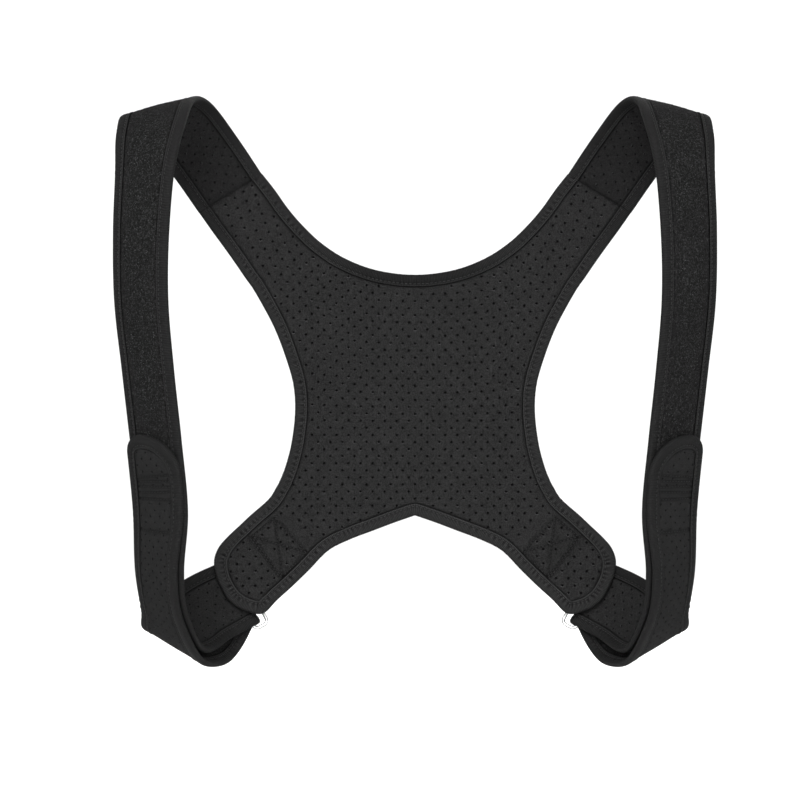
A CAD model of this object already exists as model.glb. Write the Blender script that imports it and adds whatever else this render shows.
# Looks of the posture corrector in its worn shape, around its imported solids. The wearer faces -Y and +X
# is the wearer's left. Lengths are millimetres up to the point where a mesh is made.
import math

import bpy
import numpy as np
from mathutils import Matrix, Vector
from mathutils.geometry import delaunay_2d_cdt


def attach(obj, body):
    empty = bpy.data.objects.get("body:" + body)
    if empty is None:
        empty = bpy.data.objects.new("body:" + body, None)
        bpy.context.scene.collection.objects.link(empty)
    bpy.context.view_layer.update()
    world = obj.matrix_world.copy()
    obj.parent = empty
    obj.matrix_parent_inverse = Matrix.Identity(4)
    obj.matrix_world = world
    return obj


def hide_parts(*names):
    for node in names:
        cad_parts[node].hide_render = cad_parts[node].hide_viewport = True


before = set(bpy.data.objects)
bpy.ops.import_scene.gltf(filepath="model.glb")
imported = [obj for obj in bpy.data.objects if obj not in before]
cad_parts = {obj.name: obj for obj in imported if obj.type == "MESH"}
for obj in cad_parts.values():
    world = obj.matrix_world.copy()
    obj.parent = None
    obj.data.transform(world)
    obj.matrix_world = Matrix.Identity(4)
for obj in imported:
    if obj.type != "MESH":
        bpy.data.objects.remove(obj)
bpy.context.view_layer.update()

MM = 0.001

# Sizes as in the part's source
half_span = 200
chest_depth = 100
torso_height = 400
strap_width = 50
cloth_thickness = 2.5
binding_thickness = 0.7
binding_reach = 7
bar_diameter = 2.5
ring_hole = 8
webbing_width = 35
webbing_thickness = 1.2
clearance = 0.35
binding_half = cloth_thickness / 2 + clearance + binding_thickness
lip = clearance + binding_thickness
fold_radius = binding_half + bar_diameter / 2 + clearance
closed_gap = 2 * binding_half + clearance

# Strap route, a row per section: out, back, down, turn, dip, width, crown, loose, shift
OUT, BACK, DOWN, TURN, DIP, WIDTH, CROWN, LOOSE, SHIFT = range(9)
route = np.array([
    [0.647, 0.636, 0.138, -13.4, 32, 1.01, 0.01, 0, 0],
    [0.727, 0.555, 0.079, -9, 34, 1.01, 0.022, 0, 0],
    [0.812, 0.29, 0.022, -5, 27, 1.01, 0.032, 0, 0],
    [0.866, 0, 0.005, 0, 15, 1, 0.036, 0, 0],
    [0.88, -0.3, 0.039, 17, 12, 1, 0.036, 0, 0],
    [0.893, -0.5, 0.11, 36, 3, 1, 0.036, 0, 0],
    [0.903, -0.6, 0.22, 41.5, 0, 1, 0.036, 0, 0],
    [0.902, -0.62, 0.335, 44, 0, 1, 0.036, 0, 0],
    [0.881, -0.6, 0.45, 46, 0, 1, 0.032, 0, 0.05],
    [0.857, -0.56, 0.566, 46.5, 0, 1, 0.028, 0, 0.05],
    [0.835, -0.5, 0.683, 48.5, 0, 1, 0.028, 0, 0.02],
    [0.84, -0.38, 0.783, 55.5, -2, 1, 0.028, 0.01, 0],
    [0.833, -0.18, 0.856, 54, -7, 1, 0.024, 0.03, 0.06],
    [0.815, 0.12, 0.896, 27, -27.5, 1, 0.02, 0.05, 0.1],
    [0.723, 0.435, 0.864, 0, -53, 1, 0.012, 0.07, 0.24],
    [0.617, 0.58, 0.838, 12.6, -60.5, 0.96, 0.004, (2 * fold_radius - closed_gap) / strap_width, 0],
])
last_station = len(route) - 1
tab_top = 8.93
tab_peak = 0.4
tab_neck_round = 0.52 * strap_width
tab_arm_round = 0.22 * strap_width

# Outlines of the back panel, as shares out and down: the neck edge from the seam to the middle, and the
# lower edge from the seam down the armhole, round the lower arm's end and up to the middle
neck_rows = np.array([
    [0.5375, 0.1025], [0.494, 0.13], [0.447, 0.163], [0.395, 0.193], [0.33, 0.223], [0.245, 0.25],
    [0.135, 0.27], [0, 0.278],
])
lower_rows = np.array([
    [0.755, 0.1725], [0.71, 0.205], [0.665, 0.236], [0.63, 0.261], [0.607, 0.278], [0.592, 0.289],
    [0.58, 0.297], [0.567, 0.307], [0.535, 0.335], [0.497, 0.372], [0.462, 0.417], [0.431, 0.47],
    [0.424, 0.52], [0.436, 0.575], [0.457, 0.617], [0.478, 0.644], [0.49, 0.655], [0.502, 0.666],
    [0.518, 0.676], [0.542, 0.687], [0.577, 0.702], [0.615, 0.72], [0.655, 0.739], [0.684, 0.756],
    [0.699, 0.774], [0.7, 0.791], [0.691, 0.81], [0.673, 0.829], [0.65, 0.848], [0.618, 0.861],
    [0.585, 0.868], [0.552, 0.873], [0.521, 0.87], [0.482, 0.85], [0.429, 0.826], [0.373, 0.799],
    [0.305, 0.765], [0.23, 0.746], [0.15, 0.731], [0.075, 0.717], [0, 0.704],
])


def unit(v):
    return v / np.linalg.norm(v, axis=-1, keepdims=True)


def smoothstep(x, low, high):
    t = np.clip((x - low) / (high - low), 0, 1)
    return t * t * (3 - 2 * t)


def smooth(rows, t):
    """A table read smoothly through every row, at t counted in rows."""
    t = np.asarray(t, float)
    i = np.clip(np.floor(t).astype(int), 0, len(rows) - 2)
    f = (t - i)[..., None]
    longer = np.vstack([2 * rows[0] - rows[1], rows, 2 * rows[-1] - rows[-2]])
    a, b, c, d = (longer[i + k] for k in range(4))
    square, cube = 2 * a - 5 * b + 4 * c - d, 3 * b - a - 3 * c + d
    return 0.5 * (2 * b + (c - a) * f + square * f**2 + cube * f**3)


def lengths(line):
    """How far along a line of points each of them is."""
    return np.concatenate([[0], np.cumsum(np.linalg.norm(np.diff(line, axis=0), axis=1))])


def resample(line, step):
    """The same line with evenly spaced points."""
    far = lengths(line)
    at = np.linspace(0, far[-1], max(2, round(far[-1] / step) + 1))
    return np.stack([np.interp(at, far, line[:, k]) for k in range(line.shape[1])], axis=1)


def evened(values, size):
    """Values along a line, averaged with their neighbours."""
    kernel = np.hanning(size + 2)[1:-1]
    padded = np.pad(values, ((size // 2, size // 2), (0, 0)), mode="edge")
    return np.stack([np.convolve(column, kernel / kernel.sum(), "valid") for column in padded.T], axis=1)


def wobble(s, seed, wavelengths):
    """Smooth noise from -1 to 1 along a length."""
    random = np.random.default_rng(seed)
    waves = [np.sin(2 * np.pi * s / w + random.uniform(0, 2 * np.pi)) for w in wavelengths]
    return sum(waves) / len(wavelengths)


# The back panel's face: how far back it lies at a place out from the middle and up. A shallow valley runs
# down its middle and soft ripples cross it.
waist_level = -torso_height / 2
swell_rise = 0.03 * chest_depth
swell_out = 0.2 * half_span
swell_width = 0.14 * half_span
swell_height = 0.15 * torso_height


def panel_depth(x, z):
    curl = np.where(z < waist_level, 0.43, 0.1) * chest_depth
    beside, above = (np.abs(x) - swell_out) / swell_width, (z - waist_level) / swell_height
    swell = swell_rise * np.exp(-(beside**2) - above**2)
    depth = 0.88 * chest_depth - 0.45 * chest_depth * (x / half_span) ** 2
    valley = -0.7 * np.exp(-((x / 6) ** 2))
    ripple = 0.25 * np.sin(np.abs(x) / 9.0 + z / 17) * np.sin(z / 13 - np.abs(x) / 21)
    return depth - curl * ((z - waist_level) / waist_level) ** 2 + swell + valley + ripple


def panel_at(flat, height=0.0):
    """Points and directions of the panel's face, height off its middle."""
    x, z = flat[:, 0], flat[:, 1]
    step = 0.5
    slope_x = (panel_depth(x + step, z) - panel_depth(x - step, z)) / (2 * step)
    slope_z = (panel_depth(x, z + step) - panel_depth(x, z - step)) / (2 * step)
    face = unit(np.stack([-slope_x, np.ones_like(x), -slope_z], axis=1))
    point = np.stack([x, panel_depth(x, z), z], axis=1)
    return point + face * np.reshape(height, (-1, 1)), face


# The strap: its middle line and directions over the shoulder, round the ring's bar and back to the tab
def strap_place(t):
    row = smooth(route, t)
    place = [row[..., OUT] * half_span, row[..., BACK] * chest_depth, -row[..., DOWN] * torso_height]
    return np.stack(place, axis=-1)


def strap_frame(t):
    row = smooth(route, t)
    step = 0.02
    along = unit(strap_place(np.minimum(t + step, last_station)) - strap_place(np.maximum(t - step, 0)))
    turn, dip = np.radians(row[..., TURN]), np.radians(row[..., DIP])
    across = np.stack([np.cos(turn) * np.cos(dip), np.sin(turn) * np.cos(dip), -np.sin(dip)], axis=-1)
    normal = unit(np.cross(along, across))
    return strap_place(t), along, across, normal, row


def strap_table():
    out = np.linspace(0, last_station, 900)
    back = np.linspace(last_station, tab_top, 500)[1:]
    turning = np.linspace(0, np.pi, 60)[1:]
    t = np.concatenate([out, np.full(len(turning), last_station), back])
    angle = np.concatenate([np.zeros(len(out)), turning, np.full(len(back), np.pi)])
    origin, along, across, normal, row = strap_frame(t)
    forwards = unit(along - across * (along * across).sum(1, keepdims=True))
    returning = np.arange(len(t)) >= len(out) + len(turning)
    slack = closed_gap + row[:, LOOSE] * strap_width
    off = np.where(returning, slack, fold_radius * (1 - np.cos(angle)))
    ahead = np.where(returning, 0, fold_radius * np.sin(angle))
    origin = origin - across * np.where(returning, row[:, SHIFT] * strap_width, 0)[:, None]
    half = row[:, WIDTH] * strap_width / 2
    crown = row[:, CROWN] * strap_width
    middle = origin + normal * (crown + off)[:, None] + forwards * ahead[:, None]
    table = np.column_stack([origin, across, normal, forwards, half, crown, off, ahead, angle])
    return lengths(middle), t, table, returning


strap_s, strap_t, strap_columns, strap_returning = strap_table()


def strap_at(flat, height=0.0):
    """Points and directions of the strap's face: flat is how far along and across, height off its middle."""
    s, w = flat[:, 0], flat[:, 1]
    row = np.stack([np.interp(s, strap_s, column) for column in strap_columns.T], axis=1)
    origin, across, normal, forwards = row[:, 0:3], unit(row[:, 3:6]), unit(row[:, 6:9]), unit(row[:, 9:12])
    half, crown, off, ahead, angle = (row[:, k : k + 1] for k in range(12, 17))
    c = w[:, None] / half
    slope = np.arctan(2 * crown * np.clip(c, -0.85, 0.85) / half)
    face = normal * np.cos(slope) + across * np.sin(slope)
    point = origin + across * c * half + normal * crown * (1 - c**2) + face * off + forwards * ahead
    face = face * np.cos(angle) - forwards * np.sin(angle)
    return point + face * np.reshape(height, (-1, 1)), face


def strap_half(s):
    return np.interp(s, strap_s, strap_columns[:, 12])


def station_length(t):
    """How far along the strap its returning layer passes station t."""
    return np.interp(t, strap_t[strap_returning][::-1], strap_s[strap_returning][::-1])


# Outlines of the cloth, drawn in by the binding's lip
def inset(line, side):
    along = unit(np.gradient(line, axis=0))
    return line + side * lip * np.stack([along[:, 1], -along[:, 0]], axis=1)


def hem(line, side):
    """Where the binding's inner edge runs, rounded where the cut edge turns sharply."""
    along = unit(np.gradient(line, axis=0))
    inside = side * np.stack([along[:, 1], -along[:, 0]], axis=1)
    return line + binding_reach * unit(evened(inside, hem_round))


def edge_curve(rows, side, level=False):
    last = rows[-2:-1] * [-1, 1] if level else rows[:0]
    line = smooth(np.vstack([rows, last]), np.linspace(0, len(rows) - 1, 40 * len(rows)))
    line = inset(line * [half_span, -torso_height], side)
    line[-1, 0] = 0
    return line


edge_step = 1.5
hem_round = 9
neck_half = resample(edge_curve(neck_rows, -1, level=True), edge_step)
lower_half = resample(edge_curve(lower_rows, 1), edge_step)
mirror_flat = np.array([-1, 1])
seam_line = resample(np.array([neck_half[0], lower_half[0]]), edge_step)
half_outline = np.vstack([neck_half[::-1], seam_line[1:-1], lower_half])
panel_outline = np.vstack([half_outline, (half_outline * mirror_flat)[::-1][1:-1]])
panel_seams = [seam_line, seam_line * mirror_flat]
neck_hem, lower_hem = hem(neck_half, -1), hem(lower_half, 1)
neck_hem[-1, 0] = lower_hem[-1, 0] = 0
panel_hems = [line * turn for line in (neck_hem, lower_hem) for turn in ((1, 1), (-1, 1))]
half_inside = np.vstack([neck_hem[::-1], lower_hem])
panel_inside = np.vstack([half_inside, (half_inside * mirror_flat)[::-1]])


def tab_outline(round_length, reach):
    """Quarter ellipse from the tab's top to where its edge runs straight."""
    angle = np.linspace(0, np.pi / 2, 24)
    origins = strap_place(np.array([8.0, 9.0]))
    spacing = np.linalg.norm(origins[1] - origins[0])
    s = station_length(tab_top + round_length * (1 - np.cos(angle)) / spacing)
    return np.stack([s, (tab_peak + reach * np.sin(angle)) * strap_half(s)], axis=1)


def strap_edge(side, end):
    s = np.linspace(0, end, 600)
    return np.stack([s, side * strap_half(s)], axis=1)


neck_corner = tab_outline(tab_neck_round, -(1 + tab_peak))
arm_corner = tab_outline(tab_arm_round, 1 - tab_peak)
strap_path = np.vstack([
    strap_edge(-1, neck_corner[-1, 0]), neck_corner[::-1][1:], arm_corner[1:],
    strap_edge(1, arm_corner[-1, 0])[::-1][1:],
])
strap_outline = resample(strap_path, edge_step)
strap_seam = resample(np.array([strap_outline[-1], strap_outline[0]]), edge_step)[1:-1]
strap_hem = hem(strap_outline, -1)
strap_seams = [np.vstack([strap_outline[-1:], strap_seam, strap_outline[:1]])]
strap_outline = np.vstack([strap_outline, strap_seam])


def inside_of(points, outline):
    """Which points lie inside an outline."""
    a, b = outline, np.roll(outline, -1, axis=0)
    result = np.zeros(len(points), bool)
    for start in range(0, len(points), 4000):
        p = points[start : start + 4000, None, :]
        crosses = (a[:, 1] > p[..., 1]) != (b[:, 1] > p[..., 1])
        rise = np.where(b[:, 1] == a[:, 1], 1e-12, b[:, 1] - a[:, 1])
        at = a[:, 0] + (p[..., 1] - a[:, 1]) * (b[:, 0] - a[:, 0]) / rise
        result[start : start + 4000] = (crosses & (p[..., 0] < at)).sum(1) % 2 == 1
    return result


def line_distance(points, lines):
    """How far each point is from the nearest of several lines."""
    a = np.vstack([line[:-1] for line in lines])
    ab = np.vstack([line[1:] for line in lines]) - a
    square = np.maximum((ab**2).sum(1), 1e-12)
    result = np.empty(len(points))
    for start in range(0, len(points), 2000):
        p = points[start : start + 2000, None, :]
        t = np.clip(((p - a) * ab).sum(2) / square, 0, 1)
        result[start : start + 2000] = np.sqrt((((a + t[..., None] * ab) - p) ** 2).sum(2).min(1))
    return result


# Cloth: one closed sheet with a round dent at each perforation. hole_levels are radius and depth, times the
# cloth's own hole size.
hole_pitch = 8.6
hole_row = 5.0
hole_sides = 8
hole_levels = [(0.88, 0.12), (0.78, 0.5), (0.7, 1.1)]
hole_rim = 1.1
hole_margin = 1.7
seam_margin = 2.4
linted_share = 0.3
groove_depth = 0.75
groove_width = 0.5
seam_depth = 0.1
seam_width = 1.0
slot_half, full_half = 0.55, 1.44  # half of the thickness under the binding and beside it
slot_end, rise_end = 0.55, 1.35  # where the cloth starts and ends its rise, inwards of the binding
least_gap = 0.65  # between a mesh's inner points


class Cloth:
    """A cut of cloth: its outline, binding's inner edges and seams, and the sewn lines and ridges by face."""

    def __init__(self, at, outline, hems, inside, seams, sewn, ridges, hole_size):
        self.at = at
        self.outline = outline
        self.hems = hems
        self.inside = inside
        self.seams = seams
        self.sewn = sewn
        self.ridges = ridges
        self.hole_size = hole_size

    def past_hem(self, flat):
        """How far points lie inwards of the binding's inner edge."""
        return line_distance(flat, self.hems) * np.where(inside_of(flat, self.inside), 1, -1)

    def thickness(self, flat, side):
        """Half of the thickness: thin under the binding and just beside it, full next to that, then even."""
        distance = self.past_hem(flat)
        half = slot_half + (full_half - slot_half) * smoothstep(distance, slot_end, rise_end)
        half = half - 0.16 * smoothstep(distance, 2, 9)
        half = half - seam_depth * np.exp(-((line_distance(flat, self.seams) / seam_width) ** 2))
        if self.sewn[side]:
            half = half - groove_depth * np.exp(-((line_distance(flat, self.sewn[side]) / groove_width) ** 2))
        for line, height, width in self.ridges[side]:
            half = half + height * np.exp(-((line_distance(flat, [line]) / width) ** 2))
        return half

    def shade(self, flat, side):
        """How much of the cloth's colour shows: less beside the binding and where it is sewn."""
        result = 1 - 0.85 * np.exp(-(((self.past_hem(flat) - 0.45) / 0.7) ** 2))
        result = result - 0.15 * np.exp(-((line_distance(flat, self.seams) / 3.5) ** 2))
        if self.sewn[side]:
            result = result - 0.75 * np.exp(-((line_distance(flat, self.sewn[side]) / 0.6) ** 2))
        return np.clip(result, 0.2, 1)

    def detail_points(self, side):
        """Points beside the binding's inner edge and along sewn lines, where the height changes fast."""
        found = []
        for line in self.hems:
            line = resample(line, 1.5)
            along = unit(np.gradient(line, axis=0))
            beside = np.stack([along[:, 1], -along[:, 0]], axis=1)
            for distance in (slot_end, rise_end, 2.6):
                for sign in (1, -1):
                    moved = line + sign * distance * beside
                    found.append(moved[np.abs(self.past_hem(moved) - distance) < 0.15])
        for line in self.sewn[side]:
            line = resample(line, 1.0)
            along = unit(np.gradient(line, axis=0))
            beside = np.stack([along[:, 1], -along[:, 0]], axis=1)
            found += [line + offset * beside for offset in (0, -0.75, 0.75)]
        return np.vstack(found)


def triangulate(outline, rings, inner):
    """Triangles of a flat outline that leave its rings open. Its points are outline, rings, then inner."""
    points = np.vstack([outline, rings.reshape(-1, 2), inner])
    n, sides = len(outline), hole_sides
    edges = [(i, (i + 1) % n) for i in range(n)]
    for k in range(len(rings)):
        edges += [(n + k * sides + j, n + k * sides + (j + 1) % sides) for j in range(sides)]
    found = delaunay_2d_cdt([Vector(p) for p in points.tolist()], edges, [], 0, 1e-6)
    source = np.array([ids[0] for ids in found[3]])
    triangles = source[np.array(found[2])]
    ring = np.where(triangles < n, -1, (triangles - n) // sides)
    ring = np.where(triangles >= n + len(rings) * sides, -2, ring)
    in_ring = (ring[:, 0] >= 0) & (ring[:, 0] == ring[:, 1]) & (ring[:, 1] == ring[:, 2])
    on_edge = (triangles < n).all(1)
    outside = np.zeros(len(triangles), bool)
    outside[on_edge] = ~inside_of(points[triangles[on_edge]].mean(1), outline)
    triangles = triangles[~in_ring & ~outside]
    a, b, c = (points[triangles[:, k]] for k in range(3))
    area = np.cross(b - a, c - a)
    triangles[area < 0] = triangles[area < 0][:, ::-1]
    return points, triangles[np.abs(area) > 1e-9]


def lattice(low, high):
    rows = np.arange(math.floor(low[1] / hole_row), math.ceil(high[1] / hole_row) + 1)
    columns = np.arange(math.floor(low[0] / hole_pitch) - 1, math.ceil(high[0] / hole_pitch) + 2)
    j, i = np.meshgrid(rows, columns, indexing="ij")
    return np.stack([(i + 0.5 * (j % 2)) * hole_pitch, j * hole_row], axis=2).reshape(-1, 2)


def thinned(points, keep):
    """Drops points that lie closer than keep to one that comes before them."""
    cell = {}
    kept = []
    for i, (x, y) in enumerate(points.tolist()):
        key = (int(x // keep), int(y // keep))
        near = (cell.get((key[0] + a, key[1] + b), ()) for a in (-1, 0, 1) for b in (-1, 0, 1))
        if all((x - u) ** 2 + (y - v) ** 2 >= keep * keep for group in near for u, v in group):
            cell.setdefault(key, []).append((x, y))
            kept.append(i)
    return points[kept]


def inner_points(cloth, side, centres, grid):
    """Points inside the outline that carry the cloth's curves, clear of its holes and its edge."""
    points = np.vstack([cloth.detail_points(side), grid])
    points = points[inside_of(points, cloth.outline)]
    points = points[line_distance(points, [np.vstack([cloth.outline, cloth.outline[:1]])]) > 0.6]
    for start in range(0, len(points) if len(centres) else 0, 2000):
        near = np.linalg.norm(points[start : start + 2000, None, :] - centres, axis=2).min(1)
        points[start : start + 2000][near < cloth.hole_size * hole_rim + 0.3] = np.nan
    points = points[~np.isnan(points[:, 0])]
    return thinned(points, least_gap)


def face_of_cloth(cloth, side, centres, grid, roughness):
    """One face: flat points, heights, faces, which of them line a hole, and each point's lint and shade."""
    random = np.random.default_rng(7 + side)
    angle = 2 * np.pi * np.arange(hole_sides) / hole_sides
    circle = np.stack([np.cos(angle), np.sin(angle)], axis=1)
    rings = centres[:, None, :] + cloth.hole_size * hole_rim * circle
    inner = inner_points(cloth, side, centres, grid)
    flat, triangles = triangulate(cloth.outline, rings, inner)
    height = cloth.thickness(flat, side)
    height[len(flat) - len(inner) :] += random.normal(0, roughness, len(inner))
    flats, heights = [flat], [height]
    faces = triangles.tolist()
    lining = [0] * len(faces)
    middle_height = cloth.thickness(centres, side)
    start, count = len(cloth.outline), len(flat)
    picked = random.uniform(size=len(centres)) < linted_share
    dusty = np.where(picked, random.uniform(0.2, 0.9, len(centres)), 0)
    lint = [np.zeros(len(flat))]
    shade = [cloth.shade(flat, side), np.ones(len(hole_levels) * len(centres) * hole_sides)]
    for level, (radius, depth) in enumerate(hole_levels):
        flats.append((centres[:, None, :] + cloth.hole_size * radius * circle).reshape(-1, 2))
        heights.append(np.repeat(middle_height - cloth.hole_size * depth, hole_sides))
        lint.append(np.repeat(dusty, hole_sides) * np.tile(circle[:, 1] < -0.6, len(centres)) * (level == 0))
        for k in range(len(centres)):
            a, b = start + k * hole_sides, count + k * hole_sides
            for j in range(hole_sides):
                n = (j + 1) % hole_sides
                faces.append([a + j, a + n, b + n, b + j])
                lining.append(int(level > 0))
        start, count = count, count + len(centres) * hole_sides
    for k in range(len(centres)):
        faces.append([start + k * hole_sides + j for j in range(hole_sides)])
        lining.append(1)
    if side < 0:
        faces = [f[::-1] for f in faces]
    looks = np.column_stack([np.concatenate(lint), np.concatenate(shade)])
    return np.vstack(flats), side * np.concatenate(heights), faces, lining, looks


def cloth_solid(cloth, faces_of):
    """A closed cloth. faces_of gives each side's hole centres, grid of points, roughness and slot."""
    parts = [face_of_cloth(cloth, side, *faces_of[side][:3]) for side in (1, -1)]
    n, first = len(cloth.outline), len(parts[0][0])
    flat = np.vstack([parts[0][0], parts[1][0]])
    height = np.concatenate([parts[0][1], parts[1][1]])
    faces = parts[0][2] + [[i + first for i in f] for f in parts[1][2]]
    slots = [2 if x else faces_of[side][3] for side, part in zip((1, -1), parts) for x in part[3]]
    for i in range(n):
        j = (i + 1) % n
        faces.append([i, first + i, first + j, j])
        slots.append(0)
    points, _ = cloth.at(flat, height)
    lint, shade = np.vstack([parts[0][4], parts[1][4]]).T
    return points, faces, slots, {"flat": np.column_stack([flat, height]), "lint": lint, "shade": shade}


def facing_out(points, faces):
    """The faces, turned so that a closed mesh's volume is positive."""
    volume = 0.0
    for size in {len(face) for face in faces}:
        same = np.array([face for face in faces if len(face) == size])
        for k in range(1, size - 1):
            a, b, c = points[same[:, 0]], points[same[:, k]], points[same[:, k + 1]]
            volume += (a * np.cross(b, c)).sum()
    return faces if volume > 0 else [f[::-1] for f in faces]


def make_piece(name, points, faces, materials, slots=None, attributes=None, sharp=None):
    faces = facing_out(points, faces)
    mesh = bpy.data.meshes.new(name)
    mesh.from_pydata((points * MM).tolist(), [], [list(f) for f in faces])
    for material in materials:
        mesh.materials.append(material)
    if slots is not None:
        mesh.polygons.foreach_set("material_index", slots)
    mesh.polygons.foreach_set("use_smooth", [True] * len(faces))
    if sharp:
        mesh.set_sharp_from_angle(angle=math.radians(sharp))
    for key, values in (attributes or {}).items():
        values = np.asarray(values, np.float32)
        kind, field = ("FLOAT", "value") if values.ndim == 1 else ("FLOAT_VECTOR", "vector")
        mesh.attributes.new(key, kind, "POINT").data.foreach_set(field, values.ravel())
    mesh.update()
    piece = bpy.data.objects.new(name, mesh)
    bpy.context.scene.collection.objects.link(piece)
    return piece


def make_pair(name, points, faces, *rest, **more):
    left = make_piece(f"{name}_left", points, faces, *rest, **more)
    right = make_piece(f"{name}_right", points * [-1, 1, 1], faces, *rest, **more)
    return left, right


# Materials
def new_material(name, colour, roughness, metallic=0.0):
    material = bpy.data.materials.new(name)
    material.use_nodes = True
    shader = material.node_tree.nodes["Principled BSDF"]
    shader.inputs["Base Color"].default_value = (*colour, 1)
    shader.inputs["Roughness"].default_value = roughness
    shader.inputs["Metallic"].default_value = metallic
    shader.inputs["Specular IOR Level"].default_value = 0.5 if metallic else 0.03
    return material


def node(material, kind, links=(), **values):
    """Adds a node. values set its properties or, where it has none so named, its inputs."""
    made = material.node_tree.nodes.new(kind)
    for key, value in values.items():
        if hasattr(made, key):
            setattr(made, key, value)
        else:
            made.inputs[key.replace("_", " ")].default_value = value
    for target, source in links:
        material.node_tree.links.new(source, made.inputs[target])
    return made


def link(material, source, key):
    material.node_tree.links.new(source, material.node_tree.nodes["Principled BSDF"].inputs[key])


def attribute(material, name, output="Fac"):
    return node(material, "ShaderNodeAttribute", attribute_name=name).outputs[output]


def math_node(material, operation, a, b=None):
    made = node(material, "ShaderNodeMath", links=[(0, a)], operation=operation)
    if isinstance(b, (int, float)):
        made.inputs[1].default_value = b
    elif b is not None:
        material.node_tree.links.new(b, made.inputs[1])
    return made.outputs[0]


def object_noise(material, scale, detail):
    place = node(material, "ShaderNodeTexCoord").outputs["Object"]
    noise = node(material, "ShaderNodeTexNoise", links=[("Vector", place)], Scale=scale, Detail=detail)
    return noise.outputs["Fac"]


def ramp(material, source, stops):
    made = node(material, "ShaderNodeValToRGB", links=[(0, source)])
    elements = made.color_ramp.elements
    while len(elements) < len(stops):
        elements.new(0.5)
    for element, (place, value) in zip(elements, stops):
        element.position = place
        element.color = (value, value, value, 1)
    return made.outputs["Color"]


def bump(material, layers):
    """Stacks bump layers, each (height, distance in mm), and gives the shader their normal."""
    normal = None
    for height, distance in layers:
        links = [("Height", height)] + ([("Normal", normal)] if normal else [])
        made = node(material, "ShaderNodeBump", links=links, Distance=distance * MM, Strength=1.0)
        normal = made.outputs[0]
    link(material, normal, "Normal")


def specks(material, base, scale, share, grey):
    """Mixes a few pale specks into a colour."""
    place = node(material, "ShaderNodeTexCoord").outputs["Object"]
    cells = node(material, "ShaderNodeTexVoronoi", links=[("Vector", place)], Scale=scale)
    near = math_node(material, "LESS_THAN", cells.outputs["Distance"], 0.33)
    picked = node(material, "ShaderNodeSeparateColor", links=[(0, cells.outputs["Color"])]).outputs[0]
    rare = math_node(material, "GREATER_THAN", picked, 1 - share)
    amount = math_node(material, "MULTIPLY", near, rare)
    mixed = node(material, "ShaderNodeMix", links=[(0, amount), (6, base)], data_type="RGBA")
    mixed.inputs[7].default_value = (grey, grey, grey * 1.02, 1)
    return mixed.outputs[2]


def shaded(material, colour, name):
    """A colour times a value that the mesh holds."""
    links = [(0, colour), (3, attribute(material, name))]
    return node(material, "ShaderNodeVectorMath", links=links, operation="SCALE").outputs[0]


def blend(material, first, first_share, second, second_share):
    """Two values' weighted sum."""
    first = math_node(material, "MULTIPLY", first, first_share)
    return math_node(material, "ADD", first, math_node(material, "MULTIPLY", second, second_share))


def knit_material(name, dark, pale):
    material = new_material(name, (pale, pale, pale), 0.88)
    flat = attribute(material, "flat", "Vector")
    stitches = node(material, "ShaderNodeMapping", links=[("Vector", flat)], Scale=(1.5, 1.1, 1))
    links = [("Vector", stitches.outputs[0])]
    loops = node(material, "ShaderNodeTexVoronoi", links=links, Scale=1.0, Randomness=0.35)
    cloudy = object_noise(material, 90, 4)
    grain = object_noise(material, 1400, 2)
    tone = blend(material, cloudy, 0.08, grain, 0.92)
    base = shaded(material, ramp(material, tone, [(0.38, dark), (0.62, pale)]), "shade")
    lint = attribute(material, "lint")
    mixed = node(material, "ShaderNodeMix", links=[(0, lint), (6, base)], data_type="RGBA")
    mixed.inputs[7].default_value = (0.11, 0.11, 0.112, 1)
    link(material, mixed.outputs[2], "Base Color")
    bump(material, [(loops.outputs["Distance"], 0.1), (grain, 0.12)])
    return material


def loop_material():
    material = new_material("loop_pile", (0.02, 0.02, 0.021), 0.95)
    fuzz = object_noise(material, 1900, 4)
    tufts = object_noise(material, 700, 3)
    tone = blend(material, fuzz, 0.65, tufts, 0.35)
    base = ramp(material, tone, [(0.4, 0.0015), (0.52, 0.005), (0.59, 0.0125), (0.68, 0.04)])
    base = specks(material, base, 1500, 0.03, 0.06)
    link(material, shaded(material, base, "shade"), "Base Color")
    bump(material, [(tufts, 0.35), (fuzz, 0.3)])
    return material


def ribbed_material(name, grey, pitch, depth):
    material = new_material(name, (grey, grey, grey * 1.03), 0.72)
    along = attribute(material, "along")
    phase = math_node(material, "MULTIPLY", along, 2 * math.pi / pitch)
    rib = math_node(material, "SINE", phase)
    rib = math_node(material, "MULTIPLY_ADD", rib, 0.5)
    rib.node.inputs[2].default_value = 0.5
    grain = object_noise(material, 1600, 3)
    tone = blend(material, rib, 0.45, grain, 0.55)
    base = ramp(material, tone, [(0.25, grey * 0.5), (0.75, grey * 1.6)])
    link(material, shaded(material, base, "tone"), "Base Color")
    bump(material, [(rib, depth), (grain, 0.12)])
    return material


def pale_material():
    material = new_material("pale_floor", (0.9, 0.9, 0.9), 0.9)
    grain = object_noise(material, 400, 2)
    link(material, ramp(material, grain, [(0.3, 0.89), (0.7, 0.91)]), "Base Color")
    return material


def plain_material(name, grey, roughness, scale, distance, **more):
    material = new_material(name, (grey, grey, grey), roughness, **more)
    grain = object_noise(material, scale, 4)
    link(material, ramp(material, grain, [(0.25, grey * 0.7), (0.75, grey * 1.35)]), "Base Color")
    bump(material, [(grain, distance)])
    return material


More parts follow.
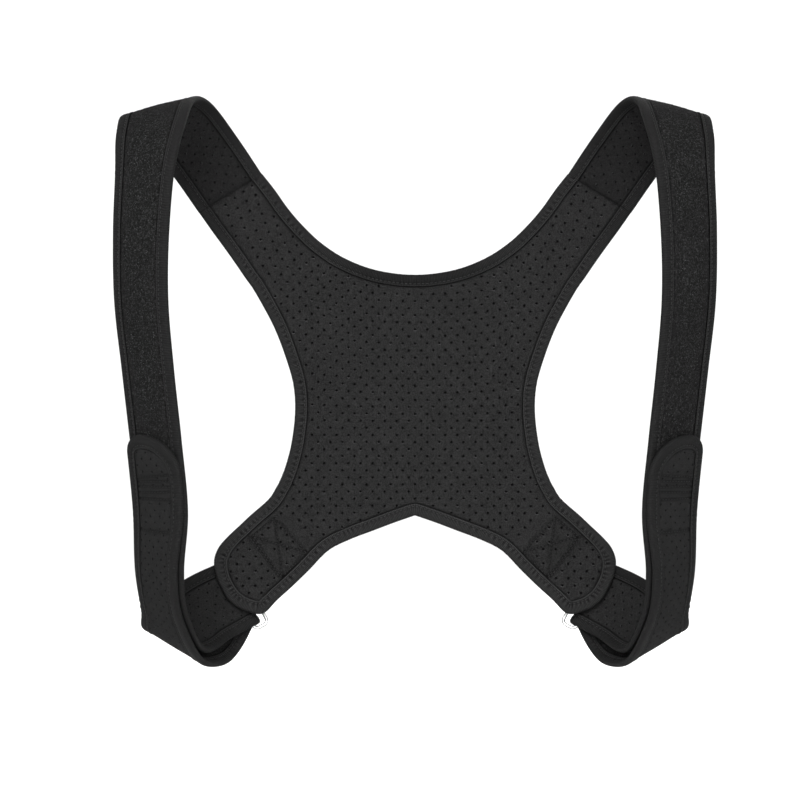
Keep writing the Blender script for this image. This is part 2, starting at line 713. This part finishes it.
knit = knit_material("knit", 0.003, 0.0125)
strap_knit = knit_material("strap_knit", 0.0034, 0.0112)
loop_pile = loop_material()
foam = plain_material("foam_core", 0.0008, 0.95, 2000, 0.1)
binding = ribbed_material("binding_tape", 0.0058, 1.1, 0.2)
webbing = ribbed_material("webbing", 0.006, 1.4, 0.3)
thread = plain_material("thread", 0.02, 0.5, 3000, 0.05)
dark_thread = plain_material("dark_thread", 0.0125, 0.5, 3000, 0.05)
hook = plain_material("hook_tape", 0.006, 0.6, 2400, 0.5)
steel = plain_material("steel", 0.34, 0.3, 900, 0.01, metallic=1.0)


# Binding tape: its section is x inwards from the cut edge and y off the cloth's middle
outer_skin = [
    (6.85, 1.12), (7.2, 1.32), (7.2, 1.66), (6.95, 1.9), (6.45, 1.97), (5.9, 1.84), (5.35, 1.68), (4.8, 1.84),
    (4.1, 2.06), (3.0, 2.2), (1.8, 2.24), (0.8, 2.16), (0.0, 1.95), (-0.55, 1.55), (-0.9, 1.05), (-1.03, 0.5),
]
inner_skin = [(0.0, -0.85), (6.4, -0.95), (6.4, 0.95), (0.0, 0.85)]
tape_section = np.array(
    outer_skin + [(-1.05, 0.0)] + [(x, -y) for x, y in outer_skin[::-1]] + inner_skin[1:2] + inner_skin[0:1]
    + inner_skin[3:4] + inner_skin[2:3]
)
stitch_in = 5.35
stitch_pitch = 3.0
gather_pitch = 3.7
gather_middle, gather_reach = 4.0, 1.5  # in from the cut edge
swelling = 0.12  # how much wider the tape is round a full curve, as a share


def loft(rings):
    """Faces of a tube through rings of points, with closed ends."""
    n, m = rings.shape[:2]
    faces = []
    for i in range(n - 1):
        for j in range(m):
            k = (j + 1) % m
            faces.append([i * m + j, i * m + k, (i + 1) * m + k, (i + 1) * m + j])
    faces.append(list(range(m))[::-1])
    faces.append([(n - 1) * m + j for j in range(m)])
    return faces


def tape(path, face, side, seed, gathers, seams=(), light=1.0):
    """Binding round a cut edge: the tube's points, faces and attributes, and its two stitch lines.

    gathers is how strongly it is gathered at each point of path, and light how light its colour is there.
    """
    along = unit(np.gradient(path, axis=0))
    inside = unit(evened(unit(np.cross(face, along) * side), 2 * hem_round + 1))
    far = lengths(path)
    for end, direction in seams:
        weight = np.exp(-np.abs(far - far[end]) / 3.0)[:, None]
        inside = unit(inside * (1 - weight) + direction * weight)
    step = far[-1] / (len(far) - 1)
    turning = evened(np.gradient(along, axis=0) / step, 13)
    bend = (turning * inside).sum(1)
    hollow = smoothstep(-bend, 0.003, 0.016)[:, None]
    full = smoothstep(bend, 0.008, 0.04)[:, None]
    x = np.repeat(tape_section[None, :, 0], len(path), axis=0)
    y = np.repeat(tape_section[None, :, 1], len(path), axis=0)
    creased = smoothstep((turning * face).sum(1)[:, None] * np.sign(y), 0.012, 0.04)
    outward = np.sign(y) * (np.abs(y) > 1.0)
    at_stitch = np.exp(-(((x - stitch_in) / 0.7) ** 2))
    tick = np.cos(2 * np.pi * far / stitch_pitch)[:, None]
    y = y - outward * at_stitch * (0.16 + 0.06 * full + 0.06 * hollow) * (1 + tick)
    # Gathers that start at the stitches, and ripples that reach the rim where the edge is hollow
    phase = (2 * np.pi * far / gather_pitch + 2.4 * wobble(far, seed, (37, 23, 14)))[:, None]
    uneven = (0.55 + 0.45 * wobble(far, seed + 1, (29, 13, 7)))[:, None]
    gather = (0.5 + 0.5 * np.cos(phase)) ** 1.5 * uneven
    reach = np.exp(-(((x - gather_middle) / gather_reach) ** 2)) * (x < 6.2)
    depth = gathers[:, None] + 0.7 * creased
    y = y - outward * gather * reach * depth
    ripple = 0.34 * hollow * uneven * np.cos(phase / 1.25)
    y = y + outward * ripple * smoothstep(stitch_in - x, 0.8, 4.5)
    x = x - 0.3 * ripple * (x < 1)
    y = np.clip(y, -2.55, 2.55)
    wide = evened(full, 25)
    x = x * np.where(x > 0, 1 + swelling * wide, 1)
    # Lighter at the inner edge and on the ridges of gathers, darker at the stitches and in their folds
    section_in = tape_section[:, 0]
    tone = 1 + 0.55 * (section_in > 6.4) - 0.3 * np.exp(-(((section_in - stitch_in) / 0.6) ** 2))
    tone = tone * (1 - 0.35 * at_stitch * (0.5 + 0.5 * tick))
    fold = np.clip(uneven * reach * depth, 0, 1) * np.cos(phase)
    tone = tone * (1 - np.where(np.cos(phase) > 0, 0.95, 1.1) * fold)
    tone = tone * np.broadcast_to(light, len(path))[:, None]
    rings = path[:, None, :] + inside[:, None, :] * x[..., None] + face[:, None, :] * y[..., None]
    attributes = {"along": np.repeat(far, len(tape_section)), "tone": tone.ravel()}
    sewn = path + inside * stitch_in * (1 + swelling * wide)
    lines = [(sewn + face * sign * 1.56, face * sign) for sign in (1, -1)]
    return rings.reshape(-1, 3), loft(rings), attributes, lines


def stitches(lines, pitch=stitch_pitch, length=2.35, radius=0.23, sides=5):
    """Short threads along lines, each a pair of points and the directions off the cloth."""
    shape = [(-0.5, 0.0, -0.3), (-0.3, 1.0, 0.0), (0.3, 1.0, 0.0), (0.5, 0.0, -0.3)]
    around = 2 * np.pi * np.arange(sides) / sides
    each = 2 + 2 * sides
    pattern = []
    for j in range(sides):
        k = (j + 1) % sides
        b, c = 1, 1 + sides
        pattern += [[0, b + k, b + j], [b + j, b + k, c + k, c + j], [c + j, c + k, each - 1]]
    points, faces = [], []
    for line, up in lines:
        far = lengths(line)
        middles = np.arange(pitch / 2, far[-1] - length / 2, pitch)

        def read(values, at):
            return np.stack([np.interp(at, far, values[:, k]) for k in range(3)], axis=1)

        parts = []
        for share, wide, deep in shape:
            at = middles + share * length
            n = unit(read(up, at))
            beside = unit(np.cross(n, read(line, at + 0.2) - read(line, at - 0.2)))
            centre = read(line, at) + n * deep * radius
            if wide == 0:
                parts.append(centre[:, None, :])
            else:
                ring = np.cos(around)[:, None] * beside[:, None, :]
                ring = ring + np.sin(around)[:, None] * n[:, None, :]
                parts.append(centre[:, None, :] + radius * ring)
        start = sum(len(p) for p in points)
        points.append(np.concatenate(parts, axis=1).reshape(-1, 3))
        faces += [[i + start + m * each for i in face] for m in range(len(middles)) for face in pattern]
    return np.vstack(points), faces


def stitch_line(at, flat, height, sign):
    """A stitch line on one of the cloth's faces, along a flat line."""
    point, face = at(flat, sign * height)
    return point, face * sign


# Back panel
def bent_lattice(points):
    """Bows the pattern's upper rows, and turns it on the upper arms, which bend over the shoulders."""
    side = np.sign(points[:, 0])
    bow = 4 * smoothstep(points[:, 1], -235, -150) * (np.minimum(np.abs(points[:, 0]), 85) / 60) ** 2
    points = points + np.stack([np.zeros(len(points)), bow], axis=1)
    angle = np.radians(15) * smoothstep(points[:, 1], -125, -60)
    angle = angle * smoothstep(np.abs(points[:, 0]), 40, 85) * side
    pivot = np.stack([side * 75, np.full(len(points), -110)], axis=1)
    x, z = (points - pivot).T
    cos, sin = np.cos(angle), np.sin(angle)
    return pivot + np.stack([x * cos - z * sin, x * sin + z * cos], axis=1)


def hole_centres(cloth, points):
    points = points[cloth.past_hem(points) > hole_margin]
    return points[line_distance(points, cloth.seams) > seam_margin]


def grid_over(outline, step):
    low, high = outline.min(0), outline.max(0)
    axes = (np.arange(low[k], high[k], step[k]) for k in range(2))
    return np.stack(np.meshgrid(*axes, indexing="ij"), axis=2).reshape(-1, 2)


# The ring's place, and the box of stitches that holds its webbing to each lower arm
ring_tilt = 20
ring_play = 2.8
ring_corner = 3.5
ring_length = route[-1, WIDTH] * strap_width + 2 * lip + bar_diameter + ring_play
ring_width = ring_hole + bar_diameter
origin, along, across, normal, row = strap_frame(np.array(float(last_station)))
ring_across = across
ring_pull = along * math.cos(math.radians(ring_tilt)) - normal * math.sin(math.radians(ring_tilt))
ring_bar = origin + normal * (fold_radius + row[CROWN] * strap_width / 2)
ring_up = np.cross(ring_across, ring_pull)
box_middle = np.array([0.485 * half_span, -0.756 * torso_height])
box_half = 12
box_point, box_face = (v[0] for v in panel_at(box_middle[None, :]))
held = ring_bar + ring_pull * ring_width
inwards = box_point - held
inwards = unit(inwards - box_face * (inwards @ box_face))
sideways = unit(np.cross(box_face, inwards))
if sideways @ ring_across < 0:
    sideways = -sideways
box_rows = np.array([[0.494, 0.707], [0.382, 0.7675], [0.4665, 0.811], [0.5735, 0.74]])
box_corners = box_rows * [half_span, -torso_height]
second_line = np.array([2.2, 0.6])
box_ends = [(box_corners[i], box_corners[(i + 1) % 4]) for i in range(4)]
box_ends += [(box_corners[0], box_corners[2]), (box_corners[1], box_corners[3])]
box_ends.append((box_corners[2] + second_line, box_corners[3] + second_line))
box_paths = [resample(np.array(ends), 1.0) for ends in box_ends]
box_grooves = box_paths + [path * mirror_flat for path in box_paths]
# The end of the webbing shows through as a soft ridge beside the box
ridge = resample(np.array([[0.469, 0.7125], [0.3775, 0.752]]) * [half_span, -torso_height], 1.0)
ridges = [(line, 0.3, 2.6) for line in (ridge, ridge * mirror_flat)]
panel_cloth = Cloth(
    panel_at, panel_outline, panel_hems, panel_inside, panel_seams,
    sewn={1: [], -1: box_grooves}, ridges={1: [], -1: ridges}, hole_size=1.0,
)
panel_centres = hole_centres(panel_cloth, bent_lattice(lattice(panel_outline.min(0), panel_outline.max(0))))
panel_centres = panel_centres[line_distance(panel_centres, box_grooves) > 1.7]
panel_centres = panel_centres[line_distance(panel_centres, [ridge, ridge * mirror_flat]) > 3]
panel_grid = grid_over(panel_outline, (3.1, 3.3))
panel_face = (panel_centres, panel_grid, 0.0, 0)
points, faces, slots, attributes = cloth_solid(panel_cloth, {1: panel_face, -1: panel_face})
back_panel = make_piece("back_panel_cloth", points, faces, [knit, loop_pile, foam], slots, attributes)

tape_step = 0.75
seam_inside = unit(panel_at(lower_half[:1])[0] - panel_at(neck_half[:1])[0])[0]
neck_flat = resample(np.vstack([neck_half, (neck_half * mirror_flat)[::-1][1:]]), tape_step)
lower_flat = resample(np.vstack([lower_half, (lower_half * mirror_flat)[::-1][1:]]), tape_step)
flip = np.array([-1, 1, 1])
neck_gathers = 0.12 + 0.88 * smoothstep(np.abs(neck_flat[:, 0]), 66, 80)
lower_down = -lower_flat[:, 1]
lower_gathers = 0.1 + 0.8 * smoothstep(lower_down, 92, 105) + 0.2 * smoothstep(lower_down, 240, 262)
lower_gathers = lower_gathers * (0.25 + 0.75 * smoothstep(np.abs(lower_flat[:, 0]), 20, 60))
neck_light = 0.85 + 0.35 * smoothstep(np.abs(neck_flat[:, 0]), 30, 70)
lower_light = 1.0 + 0.35 * smoothstep(lower_down, 70, 110) + 0.15 * smoothstep(lower_down, 262, 285)
neck_seams = [(0, seam_inside), (-1, seam_inside * flip)]
lower_seams = [(0, -seam_inside), (-1, -seam_inside * flip)]
neck_tape_mesh = tape(*panel_at(neck_flat), -1, 11, neck_gathers, neck_seams, neck_light)
lower_tape_mesh = tape(*panel_at(lower_flat), 1, 21, lower_gathers, lower_seams, lower_light)
neck_tape = make_piece("neck_tape", *neck_tape_mesh[:2], [binding], attributes=neck_tape_mesh[2])
lower_tape = make_piece("lower_tape", *lower_tape_mesh[:2], [binding], attributes=lower_tape_mesh[2])
panel_stitches = make_piece("panel_stitches", *stitches(neck_tape_mesh[3] + lower_tape_mesh[3]), [thread])

# Straps
tab_half = 17.3  # reach of the tab's sewn rows either side of its middle
tab_rows = [(25.5, 27.5), (29.5, 30.2), (33.6, 33.4), (37.0, 37.4), (42.0, 41.6), (64.5, 63.8)]
tab_paths = []
for neck_distance, arm_distance in tab_rows:
    w = np.linspace(-tab_half, tab_half, 12)
    s = station_length(tab_top) - np.interp(w, [-tab_half, tab_half], [neck_distance, arm_distance])
    tab_paths.append(np.stack([s, w], axis=1))
strap_cloth = Cloth(
    strap_at, strap_outline, [strap_hem], strap_hem, strap_seams,
    sewn={1: [], -1: tab_paths}, ridges={1: [], -1: []}, hole_size=0.74,
)
strap_centres = hole_centres(strap_cloth, lattice(strap_outline.min(0), strap_outline.max(0)))
fold_start = strap_s[strap_columns[:, 16] > 0][0] - 1
fold_end = strap_s[strap_columns[:, 16] >= np.pi][0] + 1
in_fold = (strap_centres[:, 0] > fold_start - 1) & (strap_centres[:, 0] < fold_end + 1)
strap_centres = strap_centres[~in_fold]
strap_centres = strap_centres[line_distance(strap_centres, tab_paths) > 1.3]


def strap_grid(step):
    grid = grid_over(strap_outline, step)
    grid = grid[(grid[:, 0] < fold_start) | (grid[:, 0] > fold_end)]
    s, w = np.meshgrid(np.arange(fold_start, fold_end, 0.9), np.arange(-18, 19, 3.0), indexing="ij")
    return np.vstack([grid, np.stack([s.ravel(), w.ravel()], axis=1)])


loop_face = (np.zeros((0, 2)), strap_grid((1.5, 1.6)), 0.06, 1)
knit_face = (strap_centres, strap_grid((2.4, 3.0)), 0.0, 0)
points, faces, slots, attributes = cloth_solid(strap_cloth, {1: loop_face, -1: knit_face})
# The cloth is darker where it bends over the shoulder, beside the seam
strap_start = smoothstep(-attributes["flat"][:, 0], -80, -25)
attributes["shade"] = attributes["shade"] * (1 - 0.28 * strap_start)
straps = make_pair("strap_cloth", points, faces, [strap_knit, loop_pile, foam], slots, attributes)
strap_edges = resample(strap_path, tape_step)
strap_rows = np.interp(strap_edges[:, 0], strap_s, strap_t)
strap_gathers = 0.12 + 0.9 * np.exp(-(((strap_rows - 13.2) / 0.5) ** 2)) * (strap_edges[:, 1] < 0)
strap_tape_mesh = tape(*strap_at(strap_edges), 1, 31, strap_gathers)
strap_tapes = make_pair("strap_tape", *strap_tape_mesh[:2], [binding], attributes=strap_tape_mesh[2])

tab_lines = [stitch_line(strap_at, path, 1.06, -1) for path in tab_paths]
strap_stitches = make_pair("strap_stitches", *stitches(strap_tape_mesh[3]), [thread])
tab_stitches = make_pair("tab_stitches", *stitches(tab_lines), [dark_thread])


# Ring and its webbing
def ring_mesh(corner_steps=10, sides=20):
    rings = []
    for k, (x, y) in enumerate([(1, 0), (1, 1), (-1, 1), (-1, 0)]):
        for i in range(corner_steps + 1):
            angle = math.radians((k - 1 + i / corner_steps) * 90)
            out = ring_across * math.cos(angle) + ring_pull * math.sin(angle)
            middle = ring_bar + ring_across * x * (ring_length / 2 - ring_corner) + out * ring_corner
            middle = middle + ring_pull * (ring_width - ring_corner if y else ring_corner)
            around = 2 * np.pi * np.arange(sides) / sides
            offset = np.outer(np.cos(around), out) + np.outer(np.sin(around), ring_up)
            rings.append(middle + bar_diameter / 2 * offset)
    rings = np.array(rings)
    n, m = rings.shape[:2]
    faces = []
    for i in range(n):
        for j in range(m):
            i2, j2 = (i + 1) % n, (j + 1) % m
            faces.append([i * m + j, i * m + j2, i2 * m + j2, i2 * m + j])
    return rings.reshape(-1, 3), faces


ring_wires = make_pair("ring_wire", *ring_mesh(), [steel])


def on_panel(distance, height):
    flat = box_point + inwards * distance
    point, face = panel_at(np.array([[flat[0], flat[2]]]), height)
    return point[0], face[0]


def webbing_mesh():
    layer = webbing_thickness + clearance
    lowest = cloth_thickness / 2 + clearance + webbing_thickness / 2
    raised = binding_half + clearance + webbing_thickness / 2
    turn_radius = (bar_diameter + webbing_thickness) / 2 + 1.5 * clearance
    lead = (held - box_point) @ inwards
    halfway = (lead - box_half) / 2
    stops = [(box_half, lowest), (0, lowest), (-box_half, raised)]
    lower = [(*on_panel(d, h), sideways) for d, h in stops]
    between = unit(sideways + ring_across)
    lower.append((*on_panel(halfway, raised), between))
    upper = [(*on_panel(halfway, raised + layer + turn_radius / 2), between)]
    upper += [(*on_panel(d, h + layer), sideways) for d, h in stops[::-1]]
    face = unit(box_face - ring_across * (box_face @ ring_across))
    forwards = unit(np.cross(face, ring_across))
    if forwards @ inwards > 0:
        forwards = -forwards
    turn = []
    for i in range(7):
        angle = math.pi * i / 6
        away = -face * math.cos(angle) + forwards * math.sin(angle)
        turn.append((held + away * turn_radius, -away, ring_across))
    samples = lower + turn + [(p, -f, w) for p, f, w in upper]
    table = np.array([np.concatenate(s) for s in samples])
    table = smooth(table, np.linspace(0, len(table) - 1, 8 * (len(table) - 1) + 1))
    point, up, wide = table[:, 0:3], unit(table[:, 3:6]), unit(table[:, 6:9])
    x = np.array([-1, -0.97, -0.8, -0.4, 0, 0.4, 0.8, 0.97, 1]) * webbing_width / 2
    edge = np.array([0.35, 0.8, 1, 1, 1, 1, 1, 0.8, 0.35]) * webbing_thickness / 2
    x = np.concatenate([x, x[::-1]])
    y = np.concatenate([edge, -edge[::-1]])
    rings = point[:, None, :] + wide[:, None, :] * x[None, :, None] + up[:, None, :] * y[None, :, None]
    far = lengths(point)
    attributes = {"along": np.repeat(far, len(x)), "tone": np.ones(len(x) * len(point))}
    return rings.reshape(-1, 3), loft(rings), attributes, far[-1]


points, faces, attributes, webbing_length = webbing_mesh()
ring_bands = make_pair("ring_band", points, faces, [webbing], attributes=attributes)

outer_height = cloth_thickness / 2 + 2 * clearance + 2 * webbing_thickness
box_lines = []
for path in box_paths:
    box_lines.append(stitch_line(panel_at, path, 1.04, -1))
    box_lines.append(stitch_line(panel_at, path, outer_height + 0.1, 1))
box_stitches = make_pair("box_stitches", *stitches(box_lines, pitch=2.6, length=1.9), [dark_thread])


# Hooked patch between the tab and the strap under it
def patch_mesh():
    half = closed_gap / 2 - cloth_thickness / 2 - clearance
    rings = []
    for t in np.linspace(tab_top + 0.6, 10.5, 24):
        place, _, wide, up, line = strap_frame(np.array(t))
        reach = 1 - 2 * (binding_reach + 1) / strap_width - line[SHIFT]
        half_width = line[WIDTH] * strap_width / 2
        c = np.linspace(-reach, reach, 9) - line[SHIFT]
        slack = closed_gap + line[LOOSE] * strap_width
        crown = place + np.outer(c * half_width, wide) + np.outer(line[CROWN] * strap_width * (1 - c**2), up)
        slope = np.arctan(2 * line[CROWN] * strap_width * c / half_width)
        face = np.outer(np.cos(slope), up) + np.outer(np.sin(slope), wide)
        middle = crown + face * slack / 2
        rings.append(np.vstack([middle + face * half, (middle - face * half)[::-1]]))
    rings = np.array(rings)
    return rings.reshape(-1, 3), loft(rings)


grip_patches = make_pair("grip_patch", *patch_mesh(), [hook], sharp=40)

# What each piece stands for, rides on and takes its finish from
sides = ("left", "right")
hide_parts("back_panel")
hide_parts("neck_binding")
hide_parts("lower_binding")
for i, side in enumerate(sides):
    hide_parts(f"strap_{side}")
    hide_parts(f"strap_binding_{side}")
    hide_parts(f"ring_{side}")
    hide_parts(f"ring_webbing_{side}")
    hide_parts(f"hook_patch_{side}")
finishes = [
    ("cloth", [back_panel, *straps]),
    ("binding", [neck_tape, lower_tape, *strap_tapes]),
    ("binding", [panel_stitches, *strap_stitches, *tab_stitches, *box_stitches]),
    ("steel", ring_wires), ("webbing", ring_bands), ("hook", grip_patches),
]
for finish, pieces in finishes:
    for piece in pieces:
        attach(piece, "root")


# Stage, light and camera
def stage_mesh():
    """A floor that curves up into a far wall all round."""
    floor_level = -520
    flat_radius, bend = 3600, 2600
    profile = [(0.0, floor_level), (flat_radius / 2, floor_level)]
    for angle in np.linspace(0, np.pi / 2, 16):
        profile.append((flat_radius + bend * math.sin(angle), floor_level + bend * (1 - math.cos(angle))))
    profile.append((flat_radius + bend, floor_level + bend + 3000))
    around = np.linspace(0, 2 * np.pi, 97)[:-1]
    rings = [[(r * math.cos(a), r * math.sin(a), z) for a in around] for r, z in profile[1:]]
    points = np.array([p for ring in rings for p in ring] + [(0, 0, floor_level)])
    n, m = len(rings), len(around)
    faces = []
    for i in range(n - 1):
        for j in range(m):
            k = (j + 1) % m
            faces.append([i * m + j, i * m + k, (i + 1) * m + k, (i + 1) * m + j])
    faces += [[n * m, (j + 1) % m, j] for j in range(m)]
    return points, faces


floor_material = pale_material()
floor = make_piece("floor", *stage_mesh(), [floor_material])


def area_light(name, place, aim, size, power):
    data = bpy.data.lights.new(name, "AREA")
    data.shape = "RECTANGLE"
    data.size, data.size_y = size
    data.energy = power
    lamp = bpy.data.objects.new(name, data)
    lamp.location = place
    lamp.rotation_mode = "QUATERNION"
    lamp.rotation_quaternion = (Vector(aim) - Vector(place)).to_track_quat("-Z", "Y")
    lamp.visible_camera = False
    bpy.context.scene.collection.objects.link(lamp)


middle = (0, 0, -0.2)
area_light("key", (-0.35, -2.4, 1.3), middle, (1.0, 0.9), 140)
area_light("fill", (0.6, -2.8, 0.2), middle, (1.4, 1.4), 65)
area_light("top", (0, 0.4, 2.2), middle, (2.0, 2.0), 5)
area_light("behind", (0.4, 2.6, 0.9), middle, (1.6, 1.2), 25)

world = bpy.data.worlds.new("studio")
world.use_nodes = True
world.node_tree.nodes["Background"].inputs["Color"].default_value = (1, 1, 1, 1)
world.node_tree.nodes["Background"].inputs["Strength"].default_value = 1.0
bpy.context.scene.world = world
bpy.context.scene.view_settings.view_transform = "Standard"

camera_data = bpy.data.cameras.new("camera")
camera_data.lens = 132.4
camera_data.sensor_width = 36
camera_data.shift_x = -15 / 800
camera_data.clip_end = 50
camera = bpy.data.objects.new("camera", camera_data)
camera.location = (0, -2.0, -0.2)
camera.rotation_euler = (math.radians(90), 0, 0)
bpy.context.scene.collection.objects.link(camera)
bpy.context.scene.camera = camera
